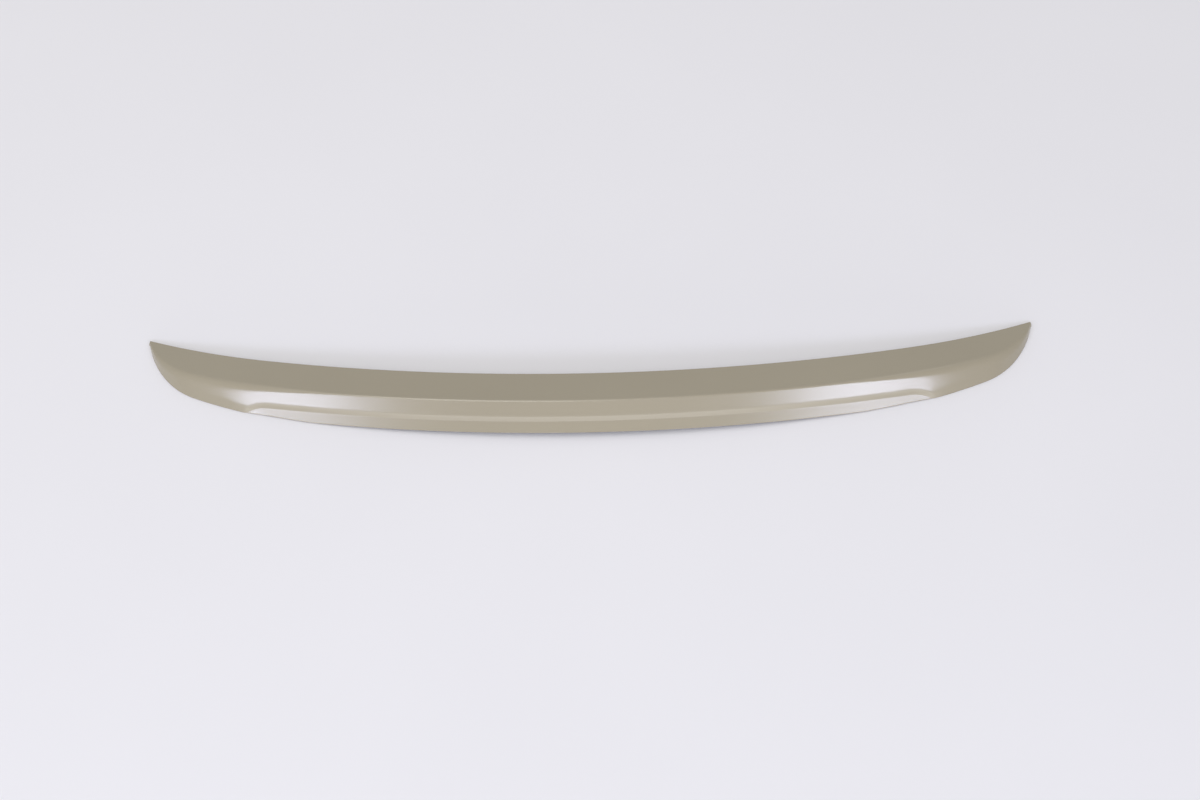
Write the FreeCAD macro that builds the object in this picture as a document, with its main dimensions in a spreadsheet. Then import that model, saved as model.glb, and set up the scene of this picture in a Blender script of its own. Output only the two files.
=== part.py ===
"""Lip spoiler for a boot lid: one thin-walled moulding, resting on its tips and on the foot of its rear face.

X runs along the spoiler, -Y points to the rear of the car and Z is up. The origin lies on the resting
surface, in the middle of the spoiler's box. Lengths are in millimetres, angles in degrees.
"""
import FreeCAD, Part
import math
import os
import Sketcher

V = FreeCAD.Vector

# Driving dimensions: alias, value
DIMENSIONS = [
    ("length", 1150.0),            # tip to tip
    ("tips_forward", 82.45),       # tips ahead of the origin
    ("tip_thickness", 2.0),        # top skin above the resting surface at the tips
    ("tip_width", 3.0),            # blunt end of each tip
    ("top_tilt", 15.5),            # rise of the top skin towards the lip
    ("bow_drop", 38.72),           # bow of the leading edge's middle arc, along the top skin
    ("lead_depth", 87.5),          # leading edge behind the tips, along the top skin
    ("lead_end", 165.0),           # leading edge's middle arc stops this far from the tip
    ("lip_depth", 142.0),          # lip behind the tips, along the top skin
    ("lip_end", 151.0),            # lip's middle arc stops this far from the tip
    ("shoulder_radius", 520.0),    # lip's arc between the middle and the tip
    ("tip_end", 71.0),             # tip's tight arc starts this far from the tip
    ("rear_angle", 48.4),          # fall of the rear face
    ("lip_radius", 2.5),           # rounding along the lip
    ("foot_arch", 6.8),            # foot of the rear face lifted in the middle
    ("foot_end", 225.0),           # that lift stops this far from the tip
    ("wall", 3.0),                 # skin thickness
    ("recess_top", 20.2),          # rear face between the lip and the recessed panel
    ("recess_end", 137.0),         # recessed panel stops this far from the tip
    ("recess_corner", 34.0),       # rounding of the panel's ends, along the spoiler
    ("ramp_angle", 61.5),          # fall of the shoulder above the panel
    ("ramp_drop", 6.15),           # height of that shoulder
    ("panel_angle", 46.0),         # fall of the recessed panel
    ("land_inset", 2.0),           # tape land behind the leading edge's lower corner
    ("land_width", 12.0),          # tape land under the leading edge
    ("land_rise", 1.2),            # land's thickness below the skin
    ("land_end", 175.0),           # land stops this far from the tip
    ("rib_end", 170.0),            # outermost corner ribs are this far from the tip
    ("rib_thickness", 2.0),
    ("rib_reach", 28.0),           # rib's length under the top skin
]
RIB_COUNT = 10
CORNER_ANGLES = (0, 20, 40, 58, 74, 90)    # panel's sections round its end
RUN_OUT = 0.15                     # share of the shoulder by which the cutter clears the face past the panel
FULL_TURN = 2.0 * math.pi
OVERRUN = 1.2                      # cuts and blanks run this much past what they have to reach

# Places along the spoiler, measured from its middle.
LEAD_JOIN = "(Dims.length / 2 - Dims.lead_end)"
LIP_JOIN = "(Dims.length / 2 - Dims.lip_end)"
SHOULDER_JOIN = "(Dims.length / 2 - Dims.tip_end)"
FOOT_HALF = "(Dims.length / 2 - Dims.foot_end)"
PANEL_STRAIGHT = "(Dims.length / 2 - Dims.recess_end - Dims.recess_corner)"
LAND_HALF = "(Dims.length / 2 - Dims.land_end)"
RIB_PITCH = "((Dims.length - 2 * Dims.rib_end) / %d)" % (RIB_COUNT - 1)

# Formulas shared by several features: the plan curve of leading edge and lip, the wall measured along the
# skins' slopes, the length of the shoulder above the panel, the lip's height in the middle, and a run down
# the rear face past the resting surface.
BOW_RADIUS = "((%s ^ 2 + Dims.bow_drop ^ 2) / (2 * Dims.bow_drop))" % LEAD_JOIN
SKEW_WALL = "(Dims.wall / sin((Dims.rear_angle + Dims.top_tilt) * 1 deg))"
RAMP_LENGTH = "(Dims.ramp_drop / sin(Dims.ramp_angle * 1 deg))"
LIP_HEIGHT = "(Dims.tip_thickness + Dims.lip_depth * sin(Dims.top_tilt * 1 deg))"
FACE_LENGTH = "(%g * %s / sin(Dims.rear_angle * 1 deg))" % (OVERRUN, LIP_HEIGHT)


def fill_sheet(doc):
    """Put the driving dimensions in a sheet and return it."""
    sheet = doc.addObject("Spreadsheet::Sheet", "Dims")
    for row, (alias, value) in enumerate(DIMENSIONS, start=1):
        sheet.set("A%d" % row, alias)
        sheet.set("B%d" % row, str(value))
        sheet.setAlias("B%d" % row, alias)
    doc.recompute()
    return sheet


def origin_plane(body, role):
    """Find one of the body's own origin planes."""
    return [item for item in body.Origin.OriginFeatures if item.Role == role][0]


def new_sketch(body, name, role):
    """Make a sketch on one of the body's origin planes."""
    sketch = body.newObject("Sketcher::SketchObject", name)
    sketch.AttachmentSupport = (origin_plane(body, role), [""])
    sketch.MapMode = "FlatFace"
    return sketch


def tilt_sketch(sketch, y_shift, z_shift):
    """Lay a sketch parallel to the top skin; its own -Y then runs up the skin, towards the lip."""
    tilt = evaluate("Dims.top_tilt")
    sketch.AttachmentOffset = FreeCAD.Placement(V(0, 0, 0), FreeCAD.Rotation(V(-1, 0, 0), tilt))
    sketch.setExpression("AttachmentOffset.Rotation.Angle", "Dims.top_tilt * 1 deg")
    sketch.setExpression("AttachmentOffset.Base.y", "(Dims.tips_forward + %s) * 1 mm" % y_shift)
    sketch.setExpression("AttachmentOffset.Base.z", "(Dims.tip_thickness + %s) * 1 mm" % z_shift)


def tilt_to_stage(sketch, along_rear, along_ramp):
    """Lay a sketch parallel to the top skin, a way down the rear face and then down the panel's shoulder."""
    rear, ramp = "Dims.rear_angle * 1 deg", "Dims.ramp_angle * 1 deg"
    tilt_sketch(sketch, "(-%s * cos(%s) - %s * cos(%s))" % (along_rear, rear, along_ramp, ramp),
                "(-%s * sin(%s) - %s * sin(%s))" % (along_rear, rear, along_ramp, ramp))


def bind(sketch, constraint, formula):
    """Add a measured constraint and tie it to the sheet."""
    index = sketch.addConstraint(constraint)
    sketch.setExpression("Constraints[%d]" % index, formula)


def arc_between(centre, radius, start, end):
    """Anticlockwise arc about a centre, through the directions of two points."""
    first = math.atan2(start.y - centre.y, start.x - centre.x)
    last = math.atan2(end.y - centre.y, end.x - centre.x)
    if last < first:
        last += FULL_TURN
    return Part.ArcOfCircle(Part.Circle(centre, V(0, 0, 1), radius), first, last)


def tangent_end_arc(join, old_centre, end):
    """Centre and radius of the arc that leaves join along the old circle and passes through end."""
    inward = (old_centre - join).normalize()
    chord = end - join
    radius = chord.dot(chord) / (2.0 * chord.dot(inward))
    return join + inward * radius, radius


def point_on_circle(centre, radius, x):
    """Point of a circle's lower half at a given x."""
    return V(x, centre.y - math.sqrt(radius ** 2 - (x - centre.x) ** 2), 0)


def mirrored(point):
    """The same point on the other half of the spoiler."""
    return V(-point.x, point.y, 0)


def lead_arcs(size):
    """Right half of the leading edge: middle centre, join, end centre, end radius, tip."""
    centre = V(0, size.bow_radius - size.lead_depth, 0)
    join = point_on_circle(centre, size.bow_radius, size.lead_join)
    tip = V(size.length / 2.0, 0, 0)
    end_centre, end_radius = tangent_end_arc(join, centre, tip)
    return centre, join, end_centre, end_radius, tip


def lip_arcs(size):
    """Right half of the lip: middle centre, join, shoulder centre, second join, tip centre and radius, tip."""
    centre = V(0, size.bow_radius - size.lip_depth, 0)
    join = point_on_circle(centre, size.bow_radius, size.lip_join)
    inward = (centre - join).normalize()
    shoulder = join + inward * size.shoulder_radius
    second = point_on_circle(shoulder, size.shoulder_radius, size.shoulder_join)
    tip = V(size.length / 2.0, -size.tip_width, 0)
    tip_centre, tip_radius = tangent_end_arc(second, shoulder, tip)
    return centre, join, shoulder, second, tip_centre, tip_radius, tip


def draw_lip(sketch, size, shrink):
    """Draw the lip's five arcs from left tip to right tip, pulled in by a named wall where asked.

    Returns the index of the first and of the last arc.
    """
    centre, join, shoulder, second, tip_centre, tip_radius, tip = lip_arcs(size)
    cut = evaluate(SKEW_WALL) if shrink else 0.0

    def pulled(point, about):
        return about + (point - about) * ((point - about).Length - cut) * (1.0 / (point - about).Length)

    far = pulled(tip, tip_centre)
    near = pulled(second, shoulder)
    mid = pulled(join, centre)
    left = [
        arc_between(mirrored(tip_centre), tip_radius - cut, mirrored(far), mirrored(near)),
        arc_between(mirrored(shoulder), size.shoulder_radius - cut, mirrored(near), mirrored(mid)),
    ]
    middle = [arc_between(centre, size.bow_radius - cut, mirrored(mid), mid)]
    right = [
        arc_between(shoulder, size.shoulder_radius - cut, mid, near),
        arc_between(tip_centre, tip_radius - cut, near, far),
    ]
    arcs = left + middle + right
    last_offset = len(arcs) - 1
    first = [sketch.addGeometry(arc, False) for arc in arcs][0]
    for offset in range(last_offset):
        sketch.addConstraint(Sketcher.Constraint("Tangent", first + offset, 2, first + offset + 1, 1))
    taken = " - " + SKEW_WALL if shrink else ""
    bind(sketch, Sketcher.Constraint("Radius", first + 2, size.bow_radius - cut), BOW_RADIUS + taken)
    bind(sketch, Sketcher.Constraint("Radius", first + 1, size.shoulder_radius - cut),
         "Dims.shoulder_radius" + taken)
    bind(sketch, Sketcher.Constraint("Radius", first + 3, size.shoulder_radius - cut),
         "Dims.shoulder_radius" + taken)
    sketch.addConstraint(Sketcher.Constraint("PointOnObject", first + 2, 3, -2))
    bind(sketch, Sketcher.Constraint("DistanceY", -1, 1, first + 2, 3, centre.y),
         BOW_RADIUS + " - Dims.lip_depth")
    for arc, sign in ((first + 3, 1), (first + 1, -1)):
        end_of_arc = 1 if sign > 0 else 2
        ratio = "%s * (%s%s) / %s" % (LIP_JOIN, BOW_RADIUS, taken, BOW_RADIUS)
        if sign > 0:
            bind(sketch, Sketcher.Constraint("DistanceX", -1, 1, arc, end_of_arc, mid.x), ratio)
        else:
            bind(sketch, Sketcher.Constraint("DistanceX", arc, end_of_arc, -1, 1, mid.x), ratio)
    return first, first + last_offset, near, far


def crescent_sketch(body, size):
    """The spoiler's outline on the top skin: leading edge, blunt tips and lip."""
    sketch = new_sketch(body, "crescent", "XY_Plane")
    tilt_sketch(sketch, "0", "0")
    first, last, near, far = draw_lip(sketch, size, False)
    bind(sketch, Sketcher.Constraint("DistanceX", -1, 1, last, 1, near.x), SHOULDER_JOIN)
    bind(sketch, Sketcher.Constraint("DistanceX", first, 2, -1, 1, near.x), SHOULDER_JOIN)
    centre, join, end_centre, end_radius, tip = lead_arcs(size)
    blunt = V(tip.x, -size.tip_width, 0)
    right_tip = sketch.addGeometry(Part.LineSegment(blunt, tip), False)
    right_end = sketch.addGeometry(arc_between(end_centre, end_radius, join, tip), False)
    middle = sketch.addGeometry(arc_between(centre, size.bow_radius, mirrored(join), join), False)
    left_curve = arc_between(mirrored(end_centre), end_radius, mirrored(tip), mirrored(join))
    left_end = sketch.addGeometry(left_curve, False)
    left_tip = sketch.addGeometry(Part.LineSegment(mirrored(tip), mirrored(blunt)), False)
    sketch.addConstraint(Sketcher.Constraint("Coincident", last, 2, right_tip, 1))
    sketch.addConstraint(Sketcher.Constraint("Coincident", right_tip, 2, right_end, 2))
    sketch.addConstraint(Sketcher.Constraint("Tangent", right_end, 1, middle, 2))
    sketch.addConstraint(Sketcher.Constraint("Tangent", middle, 1, left_end, 2))
    sketch.addConstraint(Sketcher.Constraint("Coincident", left_end, 1, left_tip, 1))
    sketch.addConstraint(Sketcher.Constraint("Coincident", left_tip, 2, first, 1))
    sketch.addConstraint(Sketcher.Constraint("PointOnObject", middle, 3, -2))
    bind(sketch, Sketcher.Constraint("Radius", middle, size.bow_radius), BOW_RADIUS)
    bind(sketch, Sketcher.Constraint("DistanceY", -1, 1, middle, 3, centre.y),
         BOW_RADIUS + " - Dims.lead_depth")
    bind(sketch, Sketcher.Constraint("DistanceX", -1, 1, middle, 2, join.x), LEAD_JOIN)
    bind(sketch, Sketcher.Constraint("DistanceX", middle, 1, -1, 1, join.x), LEAD_JOIN)
    for line, sign in ((right_tip, 1), (left_tip, -1)):
        sketch.addConstraint(Sketcher.Constraint("Vertical", line))
        corner = 2 if sign > 0 else 1
        sketch.addConstraint(Sketcher.Constraint("PointOnObject", line, corner, -1))
        if sign > 0:
            bind(sketch, Sketcher.Constraint("DistanceX", -1, 1, line, corner, tip.x), "Dims.length / 2")
        else:
            bind(sketch, Sketcher.Constraint("DistanceX", line, corner, -1, 1, tip.x), "Dims.length / 2")
        blunt_end = 1 if sign > 0 else 2
        bind(sketch, Sketcher.Constraint("DistanceY", line, blunt_end, line, corner, size.tip_width),
             "Dims.tip_width")
    return sketch


def slope_direction(feature, angle):
    """Run a pad or pocket down a slope to the rear, at an angle named in the sheet."""
    feature.UseCustomVector = True
    feature.AlongSketchNormal = False
    feature.Direction = V(0, -1, -1)
    feature.setExpression("Direction.y", "-cos(Dims.%s * 1 deg)" % angle)
    feature.setExpression("Direction.z", "-sin(Dims.%s * 1 deg)" % angle)


def blank_pad(body, crescent):
    """Crescent run down the slope of the rear face, well past the resting surface."""
    pad = body.newObject("PartDesign::Pad", "blank")
    pad.Profile = crescent
    slope_direction(pad, "rear_angle")
    pad.setExpression("Length", FACE_LENGTH)
    return pad


def foot_cut(body, size):
    """Trim the blank at the resting surface, with the foot lifted in the middle."""
    sketch = new_sketch(body, "foot_profile", "XZ_Plane")
    half = size.foot_half
    reach = size.length
    depth = size.lip_depth
    rise = size.foot_arch
    radius = (half ** 2 + rise ** 2) / (2.0 * rise)
    centre = V(0, rise - radius, 0)
    right = [V(half, 0, 0), V(reach, 0, 0), V(reach, -depth, 0)]
    corners = right + [mirrored(point) for point in reversed(right)]
    lines = [sketch.addGeometry(Part.LineSegment(a, b), False) for a, b in zip(corners, corners[1:])]
    arch = sketch.addGeometry(arc_between(centre, radius, corners[0], corners[-1]), False)
    for one, two in zip(lines, lines[1:]):
        sketch.addConstraint(Sketcher.Constraint("Coincident", one, 2, two, 1))
    sketch.addConstraint(Sketcher.Constraint("Coincident", arch, 1, lines[0], 1))
    sketch.addConstraint(Sketcher.Constraint("Coincident", arch, 2, lines[-1], 2))
    for index in (0, 2, 4):
        sketch.addConstraint(Sketcher.Constraint("Horizontal", lines[index]))
    for index in (1, 3):
        sketch.addConstraint(Sketcher.Constraint("Vertical", lines[index]))
    sketch.addConstraint(Sketcher.Constraint("PointOnObject", lines[0], 1, -1))
    sketch.addConstraint(Sketcher.Constraint("PointOnObject", lines[-1], 2, -1))
    bind(sketch, Sketcher.Constraint("DistanceX", -1, 1, lines[0], 1, half), FOOT_HALF)
    bind(sketch, Sketcher.Constraint("DistanceX", lines[-1], 2, -1, 1, half), FOOT_HALF)
    bind(sketch, Sketcher.Constraint("DistanceX", -1, 1, lines[0], 2, reach), "Dims.length")
    bind(sketch, Sketcher.Constraint("DistanceX", lines[-1], 1, -1, 1, reach), "Dims.length")
    bind(sketch, Sketcher.Constraint("DistanceY", lines[1], 2, lines[1], 1, depth), "Dims.lip_depth")
    bind(sketch, Sketcher.Constraint("Radius", arch, radius),
         "(%s ^ 2 + Dims.foot_arch ^ 2) / (2 * Dims.foot_arch)" % FOOT_HALF)
    cut = body.newObject("PartDesign::Pocket", "foot_cut")
    cut.Profile = sketch
    cut.SideType = "Symmetric"
    cut.Type = "ThroughAll"
    return cut


def lip_point(x):
    """Formulas for the lip's Y and Z at a distance x from the middle, along its middle arc."""
    depth = "(Dims.lip_depth - %s + sqrt(%s ^ 2 - (%s) ^ 2))" % (BOW_RADIUS, BOW_RADIUS, x)
    y = "(Dims.tips_forward - %s * cos(Dims.top_tilt * 1 deg))" % depth
    z = "(Dims.tip_thickness + %s * sin(Dims.top_tilt * 1 deg))" % depth
    return y, z


def polygon_sketch(body, name, x, points):
    """Closed polygon across the spoiler at x; each point is a pair of formulas for Y and Z."""
    sketch = new_sketch(body, name, "YZ_Plane")
    sketch.setExpression("AttachmentOffset.Base.z", "(%s) * 1 mm" % x)
    guess = [V(evaluate(y), evaluate(z), 0) for y, z in points]
    count = len(points)
    for index in range(count):
        sketch.addGeometry(Part.LineSegment(guess[index], guess[(index + 1) % count]), False)
    for index in range(count):
        sketch.addConstraint(Sketcher.Constraint("Coincident", index, 2, (index + 1) % count, 1))
    for index, (y, z) in enumerate(points):
        bind(sketch, Sketcher.Constraint("DistanceX", -1, 1, index, 1, guess[index].x), y)
        bind(sketch, Sketcher.Constraint("DistanceY", -1, 1, index, 1, guess[index].y), z)
    return sketch


def evaluate(formula):
    """Value of a formula of sheet cells, as the sheet gives it now."""
    return float(sheet.evalExpression(formula))


def recess_section(body, name, x, drop, share):
    """Cutter's outline at x: shoulder ramp, panel floor, and a corner outside the spoiler.

    The share says how much of the full shoulder is left; the panel runs out flush at its ends.
    """
    lip_y, lip_z = lip_point(x)
    cos_r, sin_r = "cos(Dims.rear_angle * 1 deg)", "sin(Dims.rear_angle * 1 deg)"
    cos_s, sin_s = "cos(Dims.ramp_angle * 1 deg)", "sin(Dims.ramp_angle * 1 deg)"
    floor_angle = "((Dims.rear_angle + (Dims.panel_angle - Dims.rear_angle) * %g) * 1 deg)" % max(share, 0.0)
    top_y = "(%s - %s * %s)" % (lip_y, drop, cos_r)
    top_z = "(%s - %s * %s)" % (lip_z, drop, sin_r)
    start = ("%s + %s * %s" % (top_y, RAMP_LENGTH, cos_s), "%s + %s * %s" % (top_z, RAMP_LENGTH, sin_s))
    left = "(%s * (%g))" % (RAMP_LENGTH, share)
    heel_y = "(%s - %s * %s)" % (top_y, left, cos_s)
    heel_z = "(%s - %s * %s)" % (top_z, left, sin_s)
    foot_y = "(%s - %s * cos(%s))" % (heel_y, FACE_LENGTH, floor_angle)
    foot_z = "(%s - %s * sin(%s))" % (heel_z, FACE_LENGTH, floor_angle)
    clear = "(Dims.recess_top)"
    outside = ("%s - %s * %s" % (foot_y, clear, sin_r), "%s + %s * %s" % (foot_z, clear, cos_r))
    corners = [start, (heel_y, heel_z), (foot_y, foot_z), outside]
    return polygon_sketch(body, name, x, corners)


def panel_sketch(body, size, name, along_rear, along_ramp):
    """Outline outside the rear face, between the panel's straight ends, at one level of the panel."""
    sketch = new_sketch(body, name, "XY_Plane")
    tilt_to_stage(sketch, along_rear, along_ramp)
    half = evaluate(PANEL_STRAIGHT)
    centre = V(0, size.bow_radius - size.lip_depth, 0)
    inner = point_on_circle(centre, size.bow_radius, half)
    outer = V(half, -size.lip_depth - size.recess_top, 0)
    arc = sketch.addGeometry(arc_between(centre, size.bow_radius, mirrored(inner), inner), False)
    right = sketch.addGeometry(Part.LineSegment(inner, outer), False)
    across = sketch.addGeometry(Part.LineSegment(outer, mirrored(outer)), False)
    left = sketch.addGeometry(Part.LineSegment(mirrored(outer), mirrored(inner)), False)
    sketch.addConstraint(Sketcher.Constraint("Coincident", arc, 2, right, 1))
    sketch.addConstraint(Sketcher.Constraint("Coincident", right, 2, across, 1))
    sketch.addConstraint(Sketcher.Constraint("Coincident", across, 2, left, 1))
    sketch.addConstraint(Sketcher.Constraint("Coincident", left, 2, arc, 1))
    sketch.addConstraint(Sketcher.Constraint("Vertical", right))
    sketch.addConstraint(Sketcher.Constraint("Vertical", left))
    sketch.addConstraint(Sketcher.Constraint("Horizontal", across))
    sketch.addConstraint(Sketcher.Constraint("PointOnObject", arc, 3, -2))
    bind(sketch, Sketcher.Constraint("Radius", arc, size.bow_radius), BOW_RADIUS)
    bind(sketch, Sketcher.Constraint("DistanceY", -1, 1, arc, 3, centre.y), BOW_RADIUS + " - Dims.lip_depth")
    bind(sketch, Sketcher.Constraint("DistanceX", -1, 1, right, 1, half), PANEL_STRAIGHT)
    bind(sketch, Sketcher.Constraint("DistanceX", left, 2, -1, 1, half), PANEL_STRAIGHT)
    bind(sketch, Sketcher.Constraint("DistanceY", right, 2, -1, 1, -outer.y),
         "Dims.lip_depth + Dims.recess_top")
    return sketch


def panel_cut(body, size):
    """Straight length of the panel sunk into the foot of the rear face: its shoulder, then its floor."""
    stages = [
        ("panel_shoulder", "0", "ramp_angle", RAMP_LENGTH),
        ("panel_floor", RAMP_LENGTH, "panel_angle", FACE_LENGTH),
    ]
    for name, along_ramp, angle, run in stages:
        pocket = body.newObject("PartDesign::Pocket", name)
        pocket.Profile = panel_sketch(body, size, name + "_outline", "Dims.recess_top", along_ramp)
        slope_direction(pocket, angle)
        pocket.setExpression("Length", run)
        doc.recompute()
    return pocket


def panel_end(body, name, side):
    """Rounded end of the panel, on one side (1 or -1), where it runs out flush with the rear face."""
    sections = []
    for index, angle in enumerate(CORNER_ANGLES):
        x = "(%s + Dims.recess_corner * sin(%g deg))" % (PANEL_STRAIGHT, angle)
        face_end = "(%s / sin(Dims.rear_angle * 1 deg))" % lip_point(x)[1]
        drop = "(Dims.recess_top + (%s - Dims.recess_top) * (1 - cos(%g deg)))" % (face_end, angle)
        share = (1.0 + RUN_OUT) * math.cos(math.radians(angle)) - RUN_OUT
        sections.append(recess_section(body, "%s_%02d" % (name, index), "%d * %s" % (side, x), drop, share))
    loft = body.newObject("PartDesign::SubtractiveLoft", name)
    loft.Profile = sections[0]
    loft.Sections = sections[1:]
    return loft


def core_sketch(body, size, name, along_rear, along_ramp):
    """Hollow's outline: the lip's line pulled in by the wall, open towards the front."""
    sketch = new_sketch(body, name, "XY_Plane")
    tilt_to_stage(sketch, along_rear, along_ramp)
    first, last, near, far = draw_lip(sketch, size, True)
    shoulder_x = "(%s * (1 - Dims.shoulder_radius / %s))" % (LIP_JOIN, BOW_RADIUS)
    kept = "(1 - %s / Dims.shoulder_radius)" % SKEW_WALL
    near_x = "%s + (%s - %s) * %s" % (shoulder_x, SHOULDER_JOIN, shoulder_x, kept)
    bind(sketch, Sketcher.Constraint("DistanceX", -1, 1, last, 1, near.x), near_x)
    bind(sketch, Sketcher.Constraint("DistanceX", first, 2, -1, 1, near.x), near_x)
    front = V(far.x, size.lead_depth, 0)
    right = sketch.addGeometry(Part.LineSegment(far, front), False)
    across = sketch.addGeometry(Part.LineSegment(front, mirrored(front)), False)
    left = sketch.addGeometry(Part.LineSegment(mirrored(front), mirrored(far)), False)
    sketch.addConstraint(Sketcher.Constraint("Coincident", last, 2, right, 1))
    sketch.addConstraint(Sketcher.Constraint("Coincident", right, 2, across, 1))
    sketch.addConstraint(Sketcher.Constraint("Coincident", across, 2, left, 1))
    sketch.addConstraint(Sketcher.Constraint("Coincident", left, 2, first, 1))
    sketch.addConstraint(Sketcher.Constraint("Vertical", right))
    sketch.addConstraint(Sketcher.Constraint("Vertical", left))
    sketch.addConstraint(Sketcher.Constraint("Horizontal", across))
    inner_end = "Dims.length / 2 - %s" % SKEW_WALL
    bind(sketch, Sketcher.Constraint("DistanceX", -1, 1, right, 1, far.x), inner_end)
    bind(sketch, Sketcher.Constraint("DistanceX", left, 2, -1, 1, far.x), inner_end)
    bind(sketch, Sketcher.Constraint("DistanceY", right, 1, -1, 1, -far.y), "Dims.tip_width")
    bind(sketch, Sketcher.Constraint("DistanceY", left, 2, -1, 1, -far.y), "Dims.tip_width")
    bind(sketch, Sketcher.Constraint("DistanceY", -1, 1, right, 2, front.y), "Dims.lead_depth")
    return sketch


def hollow(body, size):
    """Hollow under the skins, stepped where the recessed panel is so that the wall stays even."""
    stages = [
        ("hollow_upper", SKEW_WALL, "0", "rear_angle", "Dims.recess_top - %s" % SKEW_WALL),
        ("hollow_ramp", "Dims.recess_top", "0", "ramp_angle", RAMP_LENGTH),
        ("hollow_lower", "Dims.recess_top", RAMP_LENGTH, "panel_angle", FACE_LENGTH),
    ]
    for name, along_rear, along_ramp, angle, run in stages:
        pocket = body.newObject("PartDesign::Pocket", name)
        pocket.Profile = core_sketch(body, size, name + "_outline", along_rear, along_ramp)
        slope_direction(pocket, angle)
        pocket.setExpression("Length", run)
        before = pocket.BaseFeature.Shape.Volume
        doc.recompute()
        print(name, "removes", round(before - pocket.Shape.Volume), "cubic mm")
    return pocket


def tape_land(body, size):
    """Raised flat strip under the leading edge that takes the fixing tape."""
    sketch = new_sketch(body, "land_outline", "XY_Plane")
    rear = "Dims.rear_angle * 1 deg"
    tilt_sketch(sketch, "(-%s * cos(%s))" % (SKEW_WALL, rear), "(-%s * sin(%s))" % (SKEW_WALL, rear))
    front_y = size.bow_radius - size.lead_depth - size.land_inset
    front_centre, back_centre = V(0, front_y, 0), V(0, front_y - size.land_width, 0)
    front_end = point_on_circle(front_centre, size.bow_radius, size.land_half)
    back_end = point_on_circle(back_centre, size.bow_radius, size.land_half)
    front_curve = arc_between(front_centre, size.bow_radius, mirrored(front_end), front_end)
    front = sketch.addGeometry(front_curve, False)
    right = sketch.addGeometry(Part.LineSegment(front_end, back_end), False)
    back_curve = arc_between(back_centre, size.bow_radius, mirrored(back_end), back_end)
    back = sketch.addGeometry(back_curve, False)
    left = sketch.addGeometry(Part.LineSegment(mirrored(back_end), mirrored(front_end)), False)
    sketch.addConstraint(Sketcher.Constraint("Coincident", front, 2, right, 1))
    sketch.addConstraint(Sketcher.Constraint("Coincident", right, 2, back, 2))
    sketch.addConstraint(Sketcher.Constraint("Coincident", back, 1, left, 1))
    sketch.addConstraint(Sketcher.Constraint("Coincident", left, 2, front, 1))
    sketch.addConstraint(Sketcher.Constraint("Vertical", right))
    sketch.addConstraint(Sketcher.Constraint("Vertical", left))
    for arc in (front, back):
        sketch.addConstraint(Sketcher.Constraint("PointOnObject", arc, 3, -2))
        bind(sketch, Sketcher.Constraint("Radius", arc, size.bow_radius), BOW_RADIUS)
    inset = BOW_RADIUS + " - Dims.lead_depth - Dims.land_inset"
    bind(sketch, Sketcher.Constraint("DistanceY", -1, 1, front, 3, front_centre.y), inset)
    bind(sketch, Sketcher.Constraint("DistanceY", -1, 1, back, 3, back_centre.y),
         inset + " - Dims.land_width")
    bind(sketch, Sketcher.Constraint("DistanceX", -1, 1, right, 1, size.land_half), LAND_HALF)
    bind(sketch, Sketcher.Constraint("DistanceX", left, 2, -1, 1, size.land_half), LAND_HALF)
    pad = body.newObject("PartDesign::Pad", "tape_land")
    pad.Profile = sketch
    pad.SideType = "Two sides"
    pad.setExpression("Length", "Dims.wall / 2")
    pad.setExpression("Length2", "Dims.land_rise")
    return pad


def corner_ribs(body):
    """Triangular ribs that tie the top skin to the rear face behind the lip."""
    up_y, up_z = "(-cos(Dims.top_tilt * 1 deg))", "sin(Dims.top_tilt * 1 deg)"
    down_y, down_z = "(-cos(Dims.rear_angle * 1 deg))", "(-sin(Dims.rear_angle * 1 deg))"
    half_wall = "(%s / 2)" % SKEW_WALL
    leg = "(Dims.recess_top - %s)" % SKEW_WALL
    for index in range(RIB_COUNT):
        x = "((%g) * %s)" % (index - (RIB_COUNT - 1) / 2.0, RIB_PITCH)
        lip_y, lip_z = lip_point(x)
        corner_y = "(%s + %s * (%s - %s))" % (lip_y, half_wall, down_y, up_y)
        corner_z = "(%s + %s * (%s - %s))" % (lip_z, half_wall, down_z, up_z)
        front = ("%s - Dims.rib_reach * %s" % (corner_y, up_y), "%s - Dims.rib_reach * %s" % (corner_z, up_z))
        foot = ("%s + %s * %s" % (corner_y, leg, down_y), "%s + %s * %s" % (corner_z, leg, down_z))
        outline = polygon_sketch(body, "rib_%02d_outline" % index, x, [(corner_y, corner_z), front, foot])
        rib = body.newObject("PartDesign::Pad", "rib_%02d" % index)
        rib.Profile = outline
        rib.SideType = "Symmetric"
        rib.setExpression("Length", "Dims.rib_thickness")
    return rib


def middle_normal(face):
    """Outward normal in the middle of a face."""
    u_min, u_max, v_min, v_max = face.ParameterRange
    return face.normalAt((u_min + u_max) / 2.0, (v_min + v_max) / 2.0)


def lip_edges(shape):
    """Names of the edges where the flat top meets the rear face."""
    flats = [face for face in shape.Faces if face.Surface.TypeId == "Part::GeomPlane"]
    top = max(flats, key=lambda face: face.Area)
    names = []
    for index, edge in enumerate(shape.Edges, start=1):
        owners = [face for face in shape.Faces if any(edge.isSame(other) for other in face.Edges)]
        beside = [face for face in owners if not face.isSame(top)]
        if len(beside) == 1 and len(owners) == 2:
            normal = middle_normal(beside[0])
            if normal.y < 0 < normal.z:
                names.append("Edge%d" % index)
    return names


def round_lip(body, base):
    """Small even rounding along the whole lip."""
    fillet = body.newObject("PartDesign::Fillet", "lip_round")
    fillet.Base = (base, lip_edges(base.Shape))
    fillet.setExpression("Radius", "Dims.lip_radius")
    return fillet


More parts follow.
